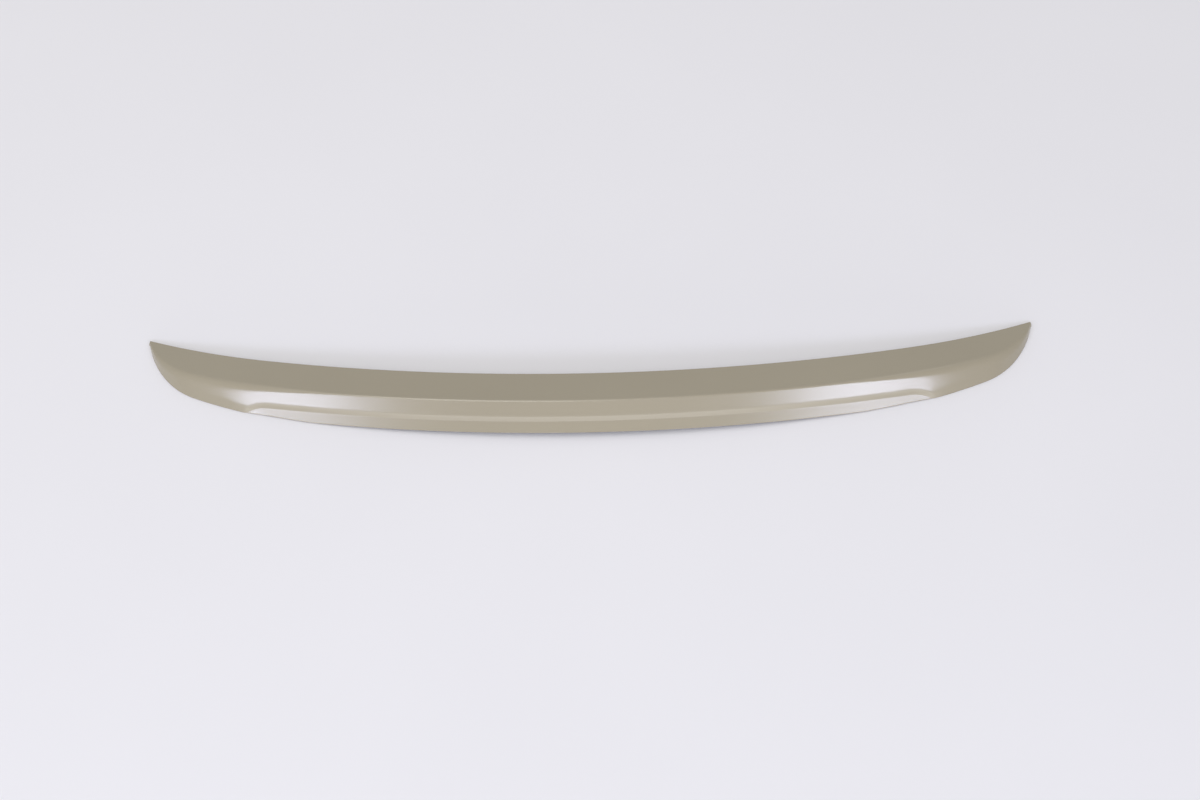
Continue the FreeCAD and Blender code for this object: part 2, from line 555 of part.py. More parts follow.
class Sizes:
    """Driving dimensions read back from the sheet, and the lengths that follow from them."""

    def __init__(self, sheet):
        for alias, _ in DIMENSIONS:
            setattr(self, alias, float(sheet.get(alias)))
        self.bow_radius = evaluate(BOW_RADIUS)
        self.lead_join = evaluate(LEAD_JOIN)
        self.lip_join = evaluate(LIP_JOIN)
        self.shoulder_join = evaluate(SHOULDER_JOIN)
        self.foot_half = evaluate(FOOT_HALF)
        self.land_half = evaluate(LAND_HALF)


doc = FreeCAD.newDocument("spoiler")
sheet = fill_sheet(doc)
size = Sizes(sheet)
body = doc.addObject("PartDesign::Body", "spoiler_shell")
body.Label = "spoiler_shell"
blank_pad(body, crescent_sketch(body, size))
foot_cut(body, size)
panel_cut(body, size)
panel_end(body, "panel_left_end", -1)
recess = panel_end(body, "panel_right_end", 1)
doc.recompute()
round_lip(body, recess)
doc.recompute()
hollow(body, size)
tape_land(body, size)
corner_ribs(body)
doc.recompute()

broken = [item.Name for item in doc.Objects if "Invalid" in item.State or "Error" in item.State]
if broken:
    raise RuntimeError("failed features: %s" % ", ".join(broken))
shape = body.Shape
if shape.isNull() or not shape.isValid() or len(shape.Solids) != 1:
    raise RuntimeError("spoiler_shell is not one valid solid")
os.makedirs("parts", exist_ok=True)
shape.exportStep("parts/%s.step" % body.Label)
box = shape.optimalBoundingBox()
print("volume %.1f cubic mm" % shape.Volume)
print("X %.2f to %.2f" % (box.XMin, box.XMax))
print("Y %.2f to %.2f" % (box.YMin, box.YMax))
print("Z %.2f to %.2f" % (box.ZMin, box.ZMax))
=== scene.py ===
# %% [markdown]
# # A lip spoiler for a boot lid
#
# The spoiler is one thin plastic moulding, about 1.15 m from tip to tip and barely 40 mm high.
# It has a flat sloping top, a lip where the top turns down into the rear face, and a long shallow
# panel sunk into the foot of that face. Underneath it is open, with a tape land and small ribs.
#
# The measured solid comes in first as the frame.

import math

import bmesh
import bpy
import numpy as np
from mathutils import Matrix, Vector


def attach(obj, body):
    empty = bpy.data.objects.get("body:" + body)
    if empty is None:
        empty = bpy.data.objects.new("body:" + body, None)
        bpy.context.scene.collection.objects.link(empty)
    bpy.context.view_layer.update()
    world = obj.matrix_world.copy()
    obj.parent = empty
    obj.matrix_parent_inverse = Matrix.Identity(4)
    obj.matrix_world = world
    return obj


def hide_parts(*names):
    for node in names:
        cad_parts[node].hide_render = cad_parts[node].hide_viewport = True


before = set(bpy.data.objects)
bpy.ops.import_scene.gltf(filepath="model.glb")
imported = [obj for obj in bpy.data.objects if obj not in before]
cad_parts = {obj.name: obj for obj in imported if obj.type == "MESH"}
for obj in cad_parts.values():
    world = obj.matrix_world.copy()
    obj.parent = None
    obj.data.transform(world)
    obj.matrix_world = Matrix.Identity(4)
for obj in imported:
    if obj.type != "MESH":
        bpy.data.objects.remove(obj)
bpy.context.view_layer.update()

# %% [markdown]
# ## The lines that shape the spoiler
#
# Two curves in the plane of the top skin make the whole form: the leading edge and the lip.
# Each is a wide bow in the middle that runs into tighter arcs towards the tips. They could be
# drawn as splines by eye, but arcs that meet tangentially are how such a part is laid out, and
# they leave no wobble for a highlight to show. A depth is a distance behind the tips, measured
# along the top skin, in millimetres.

# %% Plan curves
MM = 0.001
HALF = 575.0              # middle to tip
TIPS_Y = 82.45            # tips ahead of the origin
TIP_Z = 2.0               # top skin above the floor at the tips
TIP_WIDTH = 3.0           # blunt end of a tip
BOW = 2190.0              # radius of the middle bow
LEAD_DEPTH = 87.5         # leading edge in the middle
LEAD_JOIN = 410.0         # where its bow runs into the tip's arc
LIP_DEPTH = 142.0         # lip in the middle
LIP_JOIN = 424.0          # where its bow runs into the shoulder
SHOULDER = 520.0          # radius of the lip's arc towards the tip
SHOULDER_JOIN = 504.0     # where the shoulder runs into the tip's arc
SHOWN_AT = (0.0, 300.0, 500.0, HALF)


def arc_depth(centre, radius, x):
    """Depth of an arc at x; the arc bows away from the tips."""
    return centre[1] + math.sqrt(max(radius ** 2 - (x - centre[0]) ** 2, 0.0))


def tangent_arc(join, old_centre, old_radius, end):
    """Arc that leaves join along the old arc and passes through end."""
    inward = (np.array(old_centre) - join) / old_radius
    chord = np.array(end) - join
    radius = chord.dot(chord) / (2.0 * chord.dot(inward))
    return join + inward * radius, radius


bow_lead = (0.0, LEAD_DEPTH - BOW)
lead_joint = np.array((LEAD_JOIN, arc_depth(bow_lead, BOW, LEAD_JOIN)))
lead_end, lead_end_radius = tangent_arc(lead_joint, bow_lead, BOW, (HALF, 0.0))

bow_lip = (0.0, LIP_DEPTH - BOW)
lip_joint = np.array((LIP_JOIN, arc_depth(bow_lip, BOW, LIP_JOIN)))
shoulder = lip_joint + (np.array(bow_lip) - lip_joint) / BOW * SHOULDER
shoulder_joint = np.array((SHOULDER_JOIN, arc_depth(shoulder, SHOULDER, SHOULDER_JOIN)))
tip_arc, tip_radius = tangent_arc(shoulder_joint, shoulder, SHOULDER, (HALF, TIP_WIDTH))


def lead_depth(x):
    """Leading edge's depth at a distance x from the middle."""
    if x <= LEAD_JOIN:
        return arc_depth(bow_lead, BOW, x)
    return arc_depth(lead_end, lead_end_radius, x)


def lip_depth(x):
    """Lip's depth at a distance x from the middle."""
    if x <= LIP_JOIN:
        return arc_depth(bow_lip, BOW, x)
    if x <= SHOULDER_JOIN:
        return arc_depth(shoulder, SHOULDER, x)
    return arc_depth(tip_arc, tip_radius, x)


for x in SHOWN_AT:
    print("at %3.0f mm: leading edge %.1f, lip %.1f" % (x, lead_depth(x), lip_depth(x)))

# %% [markdown]
# ## One cross-section
#
# Cut across anywhere, the spoiler shows the same bent strip: up the top skin, round the lip, down
# the rear face, under the foot and back along the inside. The mesh is made by sweeping that strip
# from tip to tip with the same number of points in every cut, so the faces line up in clean rows.
# A boolean of simple blocks would give the form too, but not the lip's rounding, which is tight in
# the middle and opens towards the tips.

# %% Directions, walls and small radii
TILT = math.radians(15.5)                # slope of the top skin
FALL = math.radians(48.4)                # slope of the rear face
UP_SKIN = np.array((-math.cos(TILT), math.sin(TILT)))
DOWN_FACE = np.array((-math.cos(FALL), -math.sin(FALL)))
FACE_OUT = np.array((-math.sin(FALL), math.cos(FALL)))
TURN = TILT + FALL                       # how far the section turns at the lip
WALL = 3.0
SKEW_WALL = WALL / math.sin(TURN)        # wall measured along the skins
FOOT_ARCH = 6.8                          # foot lifted in the middle
FOOT_HALF = 350.0                        # outside of this it stands on the floor
FOOT_ROUND = 1.4                         # edge of the foot in the middle
FOOT_END_ROUND = 0.6                     # and beyond the panel
FOOT_REACH = math.tan((math.pi - FALL) / 2.0)  # how far its rounding reaches, per radius
LEAD_ROUND = 0.6                         # leading edge
FORWARD = np.array((1.0, 0.0))
LIP_STEPS = 10                           # rows round the lip
EDGE_STEPS = 6                           # rows round the foot and the leading edge


def skin_point(depth):
    """Point of the top skin at a depth, as Y and Z."""
    return np.array((TIPS_Y, TIP_Z)) + UP_SKIN * depth


def foot_height(x):
    """Height of the rear face's foot above the floor."""
    if x >= FOOT_HALF:
        return 0.0
    radius = (FOOT_HALF ** 2 + FOOT_ARCH ** 2) / (2.0 * FOOT_ARCH)
    return FOOT_ARCH - radius + math.sqrt(radius ** 2 - x ** 2)


def ease(value):
    """Smooth rise from 0 to 1."""
    value = min(max(value, 0.0), 1.0)
    return value * value * (3.0 - 2.0 * value)


def round_corner(corner, coming, going, radius, steps):
    """Arc that rounds a corner between two directions, tangent to both."""
    turn = math.acos(max(-1.0, min(1.0, float(coming.dot(going)))))
    reach = radius * math.tan(turn / 2.0)
    start = corner - coming * reach
    side = going - coming * coming.dot(going)
    side /= np.linalg.norm(side)
    angles = [turn * step / steps for step in range(steps + 1)]
    return [start + radius * (coming * math.sin(a) + side * (1.0 - math.cos(a))) for a in angles]


print("wall along the skins: %.2f mm" % SKEW_WALL)
print("turn at the lip: %.1f degrees" % math.degrees(TURN))

# %% [markdown]
# ## The sunk panel and the lip's rounding
#
# The panel lies about 1.6 mm below the rear face. Its upper shoulder is a short steep ramp, and at
# each end the shoulder curves down to the foot. Beyond the panel the lower part of the face turns
# in a little, so the line of the shoulder fades out softly towards the tip. A boolean cut would
# give the panel too, but with ragged faces where it runs out. Here all of that is a depth field: at
# every place on the face a function says how far the surface is sunk. That keeps the sweep's rows
# straight where the shoulder is straight, and lets it curve at the ends without a new mesh layout.

# %% Depth of the panel, radius of the lip
PANEL_TOP = 20.2          # from the lip's corner down the face to the shoulder
PANEL_HALF = 438.0        # middle to the panel's very end
PANEL_CORNER = 34.0       # length of the rounded end
PANEL_STRAIGHT = PANEL_HALF - PANEL_CORNER
PANEL_FALL = math.radians(46.0)  # slope of the panel
RAMP = math.radians(61.5)  # slope of the shoulder's ramp
RAMP_DROP = 6.15          # height of the ramp
RAMP_RUN = RAMP_DROP / math.sin(RAMP) * math.cos(RAMP - FALL)
PANEL_SINK = RAMP_DROP / math.sin(RAMP) * math.sin(RAMP - FALL)
CREST_SOFT = 2.6          # rounding at the ramp's upper edge, along the face
ROOT_SOFT = 0.9           # and at its lower edge
ROLL = math.radians(7.0)  # beyond the panel the face gets this much steeper above its foot
ROLL_SOFT = 3.0           # rounding of that turn, along the face
ROLL_HIGH = 0.54          # share of the face above the turn, towards the tip
ROLL_LOW = 0.66           # and at the panel's end
ROLL_GROWS = 34.0         # the turn grows over this length from the panel's straight
ROLL_FADES = (480.0, 545.0)  # and fades out between these
ROLL_LIFT = 0.3           # share of its depth at the foot that the whole face swings out
LIP_TIGHT = 2.6           # lip's rounding in the middle
LIP_OPEN = 13.0           # and towards the tips
LIP_OPENS = 300.0         # where it starts to open
LIP_OPENING = 190.0       # and over what length
LIP_SHARE = 0.42          # most of a skin's width that the rounding may take


def bend(value, soft):
    """Zero before 0 and a straight rise after it, rounded over soft to both sides."""
    if value <= -soft:
        return 0.0
    if value >= soft:
        return value
    return (value + soft) ** 2 / (4.0 * soft)


def soft_ramp(along):
    """Ramp from 0 to 1 over the shoulder's run, with both edges rounded."""
    return (bend(along, CREST_SOFT) - bend(along - RAMP_RUN, ROOT_SOFT)) / RAMP_RUN


def face_length(x):
    """Plain rear face from the lip's corner to the foot."""
    return (skin_point(lip_depth(x))[1] - foot_height(x)) / math.sin(FALL)


def panel_end(x):
    """How far round its end the panel has got at x: from 0 on the straight to a right angle."""
    share = (x - PANEL_STRAIGHT) / PANEL_CORNER
    return math.asin(min(max(share, 0.0), 1.0))


def panel_start(x):
    """How far down the rear face the panel's shoulder starts at x."""
    return PANEL_TOP + (face_length(x) - PANEL_TOP) * (1.0 - math.cos(panel_end(x)))


def roll(x, along):
    """Depth to which the face turns in above its foot, from the panel's end towards the tip."""
    length = face_length(x)
    share = ROLL_LOW + (ROLL_HIGH - ROLL_LOW) * ease((x - PANEL_HALF) / PANEL_CORNER)
    grown = ease((x - PANEL_STRAIGHT) / ROLL_GROWS)
    fade = ease((x - ROLL_FADES[0]) / (ROLL_FADES[1] - ROLL_FADES[0]))
    turned_in = bend(along - share * length, ROLL_SOFT)
    swung_out = ROLL_LIFT * bend((1.0 - share) * length, ROLL_SOFT) * along / length
    return math.tan(ROLL) * (turned_in - swung_out) * grown * (1.0 - fade)


def sink(x, along):
    """Depth of the rear face below its plain plane; the panel runs out at its ends."""
    past = along - panel_start(x)
    rise = max(past - RAMP_RUN, 0.0) * math.tan(FALL - PANEL_FALL)
    panel = max(PANEL_SINK * soft_ramp(past) - rise, 0.0) * math.cos(panel_end(x))
    return panel + roll(x, along) * (1.0 - panel / PANEL_SINK)


def foot_round(x):
    """Rounding of the foot's edge, smaller beyond the panel."""
    past = ease((x - PANEL_STRAIGHT) / PANEL_CORNER)
    return FOOT_ROUND + (FOOT_END_ROUND - FOOT_ROUND) * past


def lip_radius(x):
    """Tight in the middle, open towards the tips, small again where the tip runs out."""
    opened = LIP_TIGHT + (LIP_OPEN - LIP_TIGHT) * ease((x - LIP_OPENS) / LIP_OPENING)
    room = LIP_SHARE * min(lip_depth(x) - lead_depth(x), face_length(x)) / math.tan(TURN / 2.0)
    return min(opened, room)


print("panel sunk %.2f mm over a %.2f mm shoulder" % (PANEL_SINK, RAMP_RUN))

# %% [markdown]
# ## The outer strip
#
# The outer strip is what one sees: from the rounded leading edge up the skin, over the lip and down
# the rear face to the foot. Even rows would be simpler, but they would cut across the shoulder
# where it curves down, and its highlight would look ragged. So the rows follow the shoulder.

# %% Outer strip
SHOULDER_ROWS = (8, 5, 4, 5, 12)         # above it, upper edge, ramp, lower edge, panel
FACE_ROWS = sum(SHOULDER_ROWS) + 1
HEEL_PASSES = 5           # each pass comes closer to where the sunk face meets the foot
ROW_GAP = 0.06            # least gap between two rows where the shoulder meets the foot
ROWS_SPREAD = 60.0        # past the panel the rows spread out evenly over this length
SKIN_ROWS = 16            # rows up the top skin


def heel_distance(x):
    """How far down the rear face its foot lies, sunk panel included."""
    plain = face_length(x)
    last = plain
    for _ in range(HEEL_PASSES):
        last = plain - sink(x, last) / math.tan(FALL)
    return last


def face_rows(x, first):
    """Distances down the rear face for the rows of one section."""
    end = heel_distance(x) - FOOT_REACH * foot_round(x)
    top, bottom = panel_start(x), panel_start(x) + RAMP_RUN
    marks = [first, top - CREST_SOFT, top + CREST_SOFT]
    marks += [bottom - ROOT_SOFT, bottom + ROOT_SOFT, end]
    for index in range(1, len(marks) - 1):
        marks[index] = min(marks[index], end - ROW_GAP * sum(SHOULDER_ROWS[index:]))
    rows = [first]
    for low, high, count in zip(marks, marks[1:], SHOULDER_ROWS):
        rows += list(np.linspace(low, high, count + 1)[1:])
    share = ease((x - PANEL_HALF) / ROWS_SPREAD)
    return np.array(rows) * (1.0 - share) + np.linspace(first, end, FACE_ROWS) * share


def outer_strip(x):
    """Leading edge, top skin, lip, rear face and foot."""
    lead = skin_point(lead_depth(x))
    corner = skin_point(lip_depth(x))
    points = round_corner(lead, -DOWN_FACE, UP_SKIN, LEAD_ROUND, EDGE_STEPS)
    lip = round_corner(corner, UP_SKIN, DOWN_FACE, lip_radius(x), LIP_STEPS)
    for share in np.linspace(0.0, 1.0, SKIN_ROWS + 1)[1:-1]:
        points.append(points[EDGE_STEPS] * (1.0 - share) + lip[0] * share)
    points += lip
    rows = face_rows(x, float(np.linalg.norm(lip[-1] - corner)))
    points += [corner + DOWN_FACE * s - FACE_OUT * sink(x, s) for s in rows[1:]]
    last = heel_distance(x)
    heel = corner + DOWN_FACE * last - FACE_OUT * sink(x, last)
    points += round_corner(heel, DOWN_FACE, FORWARD, foot_round(x), EDGE_STEPS)[1:]
    return points


print("points in the outer strip:", len(outer_strip(0.0)))

# %% [markdown]
# ## The inner strip
#
# Under the skin the moulding is hollow, with a flat land for the tape behind the leading edge. A
# solidify modifier would give an even wall, but it would fold over itself at the thin tips. Here
# the underside is a height above each place on the floor: the lower of the top skin's underside
# and the rear face's inside, and never below the foot. Near the tips the hollow closes by itself,
# because the skin's underside comes down to the floor there.

# %% Inner strip and whole section
LAND_INSET = 2.0          # leading edge to the land
LAND_WIDTH = 12.0
LAND_RISE = 1.2           # how far the land stands proud
LAND_HALF = 400.0         # middle to the land's end
STEP_WIDTH = 0.25         # draft of the land's sides
INSIDE_ROWS = (2, 3, 3, 5, 8, 1, 4, 1, 2)  # from each mark to the next, foot to leading edge
LAND_MARKS = (6, 7)       # the land's two edges among those marks
SMALLEST = 0.02           # least gap between two rows under the skin


def inside_line(x):
    """Corners of the rear face's inside, from the foot up to the lip, as Y and Z."""
    inner = skin_point(lip_depth(x)) + SKEW_WALL * (DOWN_FACE - UP_SKIN)
    upper = inner + DOWN_FACE * (PANEL_TOP - SKEW_WALL)
    ramp = np.array((-math.cos(RAMP), -math.sin(RAMP)))
    lower = upper + ramp * (RAMP_DROP / math.sin(RAMP))
    panel = np.array((-math.cos(PANEL_FALL), -math.sin(PANEL_FALL)))
    foot = lower + panel * face_length(0.0)
    return [foot, lower, upper, inner]


def inner_strip(x, start, end):
    """Underside from the foot (start) to the leading edge's lower corner (end)."""
    line = inside_line(x)
    foot = foot_height(x)
    line_y = [p[0] for p in line]
    line_z = [p[1] for p in line]
    skin_under = line[-1]
    slope = -math.tan(TILT)
    low_lead = skin_point(lead_depth(x)) + DOWN_FACE * SKEW_WALL
    land_front = (low_lead + UP_SKIN * LAND_INSET)[0]
    land_back = land_front - LAND_WIDTH * math.cos(TILT)
    toe = float(np.interp(foot, line_z, line_y))
    marks = [start, toe, line_y[1], line_y[2], line_y[3]]
    marks += [land_back - STEP_WIDTH, land_back, land_front, land_front + STEP_WIDTH, end]
    last = len(marks) - 1
    for index in range(1, last):
        marks[index] = max(marks[index], marks[index - 1] + SMALLEST)
    for index in range(last - 1, 0, -1):
        marks[index] = min(marks[index], marks[index + 1] - SMALLEST)
    land_from, land_to = [marks[index] for index in LAND_MARKS]
    points = []
    for low, high, count in zip(marks, marks[1:], INSIDE_ROWS):
        for y in np.linspace(low, high, count + 1)[1:]:
            under = skin_under[1] + (y - skin_under[0]) * slope
            if x <= LAND_HALF and land_from - SMALLEST <= y <= land_to + SMALLEST:
                under -= LAND_RISE / math.cos(TILT)
            rear = np.interp(y, line_y, line_z) if y < line_y[-1] else under
            points.append(np.array((y, max(foot, min(under, rear)))))
    points.pop()
    return points


def section(x):
    """Whole closed section at x, and how many of its points are outside."""
    outside = outer_strip(x)
    lead = skin_point(lead_depth(x))
    reach = min(SKEW_WALL, (lead[1] - foot_height(x)) / math.sin(FALL))
    low = lead + DOWN_FACE * reach
    inside = inner_strip(x, outside[-1][0], low[0])
    return outside + inside + [low], len(outside)


print("points in a section: %d, of which %d outside" % (len(section(0.0)[0]), section(0.0)[1]))

# %% [markdown]
# ## Sweep the sections into a shell
#
# Sections stand close together where the form changes fast, which is round the panel's ends and
# towards the tips, and further apart in the long middle. Each tip is closed by a few shrinking
# rings, so that it ends blunt and rounded as a moulding does. A skin modifier or a bevelled curve
# would also sweep a strip, but neither can change the section on the way.

# %% Stations and rings
TIP_ROUND = 1.0
TIP_RINGS = 5
TIP_SHRINK = 0.7          # share of the section lost in the rounding
MIDDLE_STEP = 7.0         # between two sections in the long middle
CORNER_STEP = 0.7         # round the panel's end
END_STEP = 2.2            # from there to the tip
PAST_PANEL = PANEL_HALF + 1.0


def half_stations():
    """Distances from the middle at which the shell is cut, without the rounded tip."""
    middle = np.linspace(0.0, PANEL_STRAIGHT, int(PANEL_STRAIGHT / MIDDLE_STEP) + 1)
    corner = np.linspace(PANEL_STRAIGHT, PAST_PANEL, int(PANEL_CORNER / CORNER_STEP))
    ends = np.linspace(PAST_PANEL, HALF - TIP_ROUND, int((HALF - PANEL_HALF) / END_STEP))
    return list(middle) + list(corner[1:]) + list(ends[1:])


def ring_points(x):
    """A section's points in space, in metres and never below the floor; x may be negative."""
    points = section(abs(x))[0]
    return [Vector((x * MM, y * MM, max(z, 0.0) * MM)) for y, z in points]


def tip_rings(ring, sign):
    """Rings that round off a tip, from the last section outwards."""
    middle = sum(ring, Vector()) / len(ring)
    made = []
    for step in range(1, TIP_RINGS + 1):
        lean = math.radians(90.0) * step / TIP_RINGS
        out = TIP_ROUND * MM * math.sin(lean) * sign
        keep = 1.0 - TIP_SHRINK * (1.0 - math.cos(lean))
        made.append([Vector((p.x + out, middle.y + (p.y - middle.y) * keep,
                             middle.z + (p.z - middle.z) * keep)) for p in ring])
    return made


half = half_stations()
rings = [ring_points(x) for x in [-s for s in reversed(half)] + half[1:]]
rings = list(reversed(tip_rings(rings[0], -1.0))) + rings + tip_rings(rings[-1], 1.0)
print("rings:", len(rings), "points each:", len(rings[0]))

# %% [markdown]
# ## Faces between the rings
#
# The moulding's surface is closed all round, outside and inside. Four-sided faces join each ring to
# the next, and one flat face closes each tip. Bridging the rings with an operator gives the same
# faces; the list is written out here because the order of the points is known.

# %% Make the shell's mesh
ring_size = len(rings[0])
verts = [p for ring in rings for p in ring]
faces = []
for r in range(len(rings) - 1):
    for k in range(ring_size):
        nxt = (k + 1) % ring_size
        here, there = r * ring_size, (r + 1) * ring_size
        faces.append((here + k, here + nxt, there + nxt, there + k))
faces.append(tuple(range(ring_size)))
faces.append(tuple((len(rings) - 1) * ring_size + k for k in reversed(range(ring_size))))
shell_mesh = bpy.data.meshes.new("spoiler")
shell_mesh.from_pydata(verts, [], faces)
shell = bpy.data.objects.new("spoiler", shell_mesh)
bpy.context.scene.collection.objects.link(shell)
shell_edit = bmesh.new()
shell_edit.from_mesh(shell_mesh)
bmesh.ops.recalc_face_normals(shell_edit, faces=shell_edit.faces)
shell_edit.to_mesh(shell_mesh)
shell_edit.free()
print("shell faces:", len(shell_mesh.polygons))

# %% [markdown]
# ## Ribs behind the lip
#
# Ten small triangular ribs tie the top skin to the rear face on the inside. They are moulded with
# the shell, so each is joined to it as one body. Loose plates pushed into the skins would look the
# same, but leave hidden faces. A boolean union doesn't: the rib's plate reaches half way into both
# skins, and the union leaves only what stands out of them.

# %% Add the ribs
RIB_COUNT = 10
RIB_END = 170.0           # last rib to the tip
RIB_THICKNESS = 2.0
RIB_REACH = 28.0          # along the top skin
rib_pitch = (2.0 * HALF - 2.0 * RIB_END) / (RIB_COUNT - 1)
plates = bmesh.new()
for index in range(RIB_COUNT):
    x = (index - (RIB_COUNT - 1) / 2.0) * rib_pitch
    corner = skin_point(lip_depth(abs(x))) + SKEW_WALL / 2.0 * (DOWN_FACE - UP_SKIN)
    outline = [corner, corner - UP_SKIN * RIB_REACH, corner + DOWN_FACE * (PANEL_TOP - SKEW_WALL)]
    sides = []
    for offset in (-RIB_THICKNESS / 2.0, RIB_THICKNESS / 2.0):
        sides.append([plates.verts.new(((x + offset) * MM, y * MM, z * MM)) for y, z in outline])
    plates.faces.new(sides[0])
    plates.faces.new(reversed(sides[1]))
    for k in range(len(outline)):
        nxt = (k + 1) % len(outline)
        plates.faces.new((sides[0][nxt], sides[0][k], sides[1][k], sides[1][nxt]))
bmesh.ops.recalc_face_normals(plates, faces=plates.faces)
plate_mesh = bpy.data.meshes.new("rib_plates")
plates.to_mesh(plate_mesh)
plates.free()
rib_plates = bpy.data.objects.new("rib_plates", plate_mesh)
bpy.context.scene.collection.objects.link(rib_plates)
union = shell.modifiers.new("ribs", "BOOLEAN")
union.operation = "UNION"
union.solver = "EXACT"
union.object = rib_plates
bpy.context.view_layer.update()
evaluated = shell.evaluated_get(bpy.context.evaluated_depsgraph_get())
joined = bpy.data.meshes.new_from_object(evaluated)
shell.modifiers.clear()
shell.data = joined
bpy.data.objects.remove(rib_plates)
print("faces with ribs:", len(joined.polygons))

# %% [markdown]
# ## Inside and outside
#
# The paint is full on the outside and only a thin mist within. The shell therefore carries a number
# at each of its points: 0 on the outer strip, 1 on the inner strip and on the ribs. Two materials
# would give a hard seam along the edges; a number fades over one row of faces.

# %% Mark the underside
PLACE_DIGITS = 6


def place_key(point):
    """A point's place, rounded so that equal places compare equal."""
    return tuple(round(c, PLACE_DIGITS) for c in point)


outside_count = section(0.0)[1]
outer_places = {place_key(p) for ring in rings for p in ring[:outside_count]}
marks = [0.0 if place_key(v.co) in outer_places else 1.0 for v in joined.vertices]
underside = joined.attributes.new("underside", "FLOAT", "POINT")
underside.data.foreach_set("value", marks)
print("points inside: %d of %d" % (sum(marks), len(marks)))

# %% [markdown]
# ## Smooth shading
#
# The rows are close enough for smooth shading; a subdivision would only add faces. Real corners,
# such as the inner edge of the foot and the sides of the land, stay sharp: they turn by more than
# the angle given here. Weighted normals let the large flat rows decide how light falls beside a
# small rounding.

# %% Shade the shell
SHARP_ANGLE = math.radians(32.0)
joined.shade_smooth()
joined.set_sharp_from_angle(angle=SHARP_ANGLE)
weighted = shell.modifiers.new("weighted_normals", "WEIGHTED_NORMAL")
weighted.keep_sharp = True
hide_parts("spoiler_shell")
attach(shell, "root")
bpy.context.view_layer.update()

# %% [markdown]
# ## Paint
#
# The real part wears a warm grey-beige paint, satin to glossy. Seen close it isn't one flat
# colour: the coat has a faint orange-peel ripple, the pigment varies a little, and the inside got
# only a thin, dull mist of it. All of that comes from noise in the object's own space, so it keeps
# its size on the part and needs no picture.

# %% Paint material and its helpers
NOISE_LOW, NOISE_HIGH = 0.3, 0.7         # nearly all of a noise lies between these
paint = bpy.data.materials.new("beige_paint")
paint.use_nodes = True
nodes = paint.node_tree.nodes
links = paint.node_tree.links
shader = nodes["Principled BSDF"]


def noise(scale, detail):
    """Noise in the spoiler's own space, in metres."""
    texture = nodes.new("ShaderNodeTexNoise")
    texture.inputs["Scale"].default_value = scale
    texture.inputs["Detail"].default_value = detail
    links.new(place.outputs["Object"], texture.inputs["Vector"])
    return texture.outputs["Fac"]


def spread(value, low, high):
    """Map a noise's middle range to low..high."""
    ranged = nodes.new("ShaderNodeMapRange")
    ranged.inputs["From Min"].default_value = NOISE_LOW
    ranged.inputs["From Max"].default_value = NOISE_HIGH
    ranged.inputs["To Min"].default_value = low
    ranged.inputs["To Max"].default_value = high
    links.new(value, ranged.inputs["Value"])
    return ranged.outputs["Result"]


def mixed(factor, first, second):
    """Mix two colours; each may be a socket or a plain colour."""
    mix = nodes.new("ShaderNodeMix")
    mix.data_type = "RGBA"
    links.new(factor, mix.inputs["Factor"])
    for name, colour in (("A", first), ("B", second)):
        socket = [s for s in mix.inputs if s.name == name and s.type == "RGBA"][0]
        if isinstance(colour, tuple):
            socket.default_value = colour
        else:
            links.new(colour, socket)
    return [s for s in mix.outputs if s.type == "RGBA"][0]


place = nodes.new("ShaderNodeTexCoord")
inside = nodes.new("ShaderNodeAttribute")
inside.attribute_name = "underside"
print("paint:", paint.name, "marked by", inside.attribute_name)

# %% [markdown]
# ## Colour of the paint
#
# Wide soft clouds and a fine grain each move the colour a little between two close beiges, and the
# underside takes the duller mist. One plain colour would do from afar, but it looks like paper
# close up.

# %% Pigment
PAINT = (0.330, 0.290, 0.211, 1.0)
PAINT_LIGHT = (0.352, 0.311, 0.228, 1.0)
MIST = (0.21, 0.195, 0.165, 1.0)
CLOUD_SCALE, CLOUD_DETAIL, CLOUD_SHARE = 5.0, 3.0, 0.6
GRAIN_SCALE, GRAIN_DETAIL, GRAIN_SHARE = 1400.0, 2.0, 0.4
clouds = noise(CLOUD_SCALE, CLOUD_DETAIL)
grain = noise(GRAIN_SCALE, GRAIN_DETAIL)
pigment = nodes.new("ShaderNodeMath")
pigment.operation = "ADD"
links.new(spread(clouds, 0.0, CLOUD_SHARE), pigment.inputs[0])
links.new(spread(grain, 0.0, GRAIN_SHARE), pigment.inputs[1])
coloured = mixed(pigment.outputs["Value"], PAINT, PAINT_LIGHT)
links.new(mixed(inside.outputs["Fac"], coloured, MIST), shader.inputs["Base Color"])
print("colours:", PAINT[:3], "to", PAINT_LIGHT[:3], "and inside", MIST[:3])

# %% [markdown]
# ## Gloss of the paint
#
# The finish is a pigment coat under a clear one. The shader's own coat layer gives that: a dull
# base with a smoother skin on top, which draws the long soft highlights. A single glossy layer
# would give either sharp highlights or none. The orange peel is too shallow to model, so it is a
# bump.

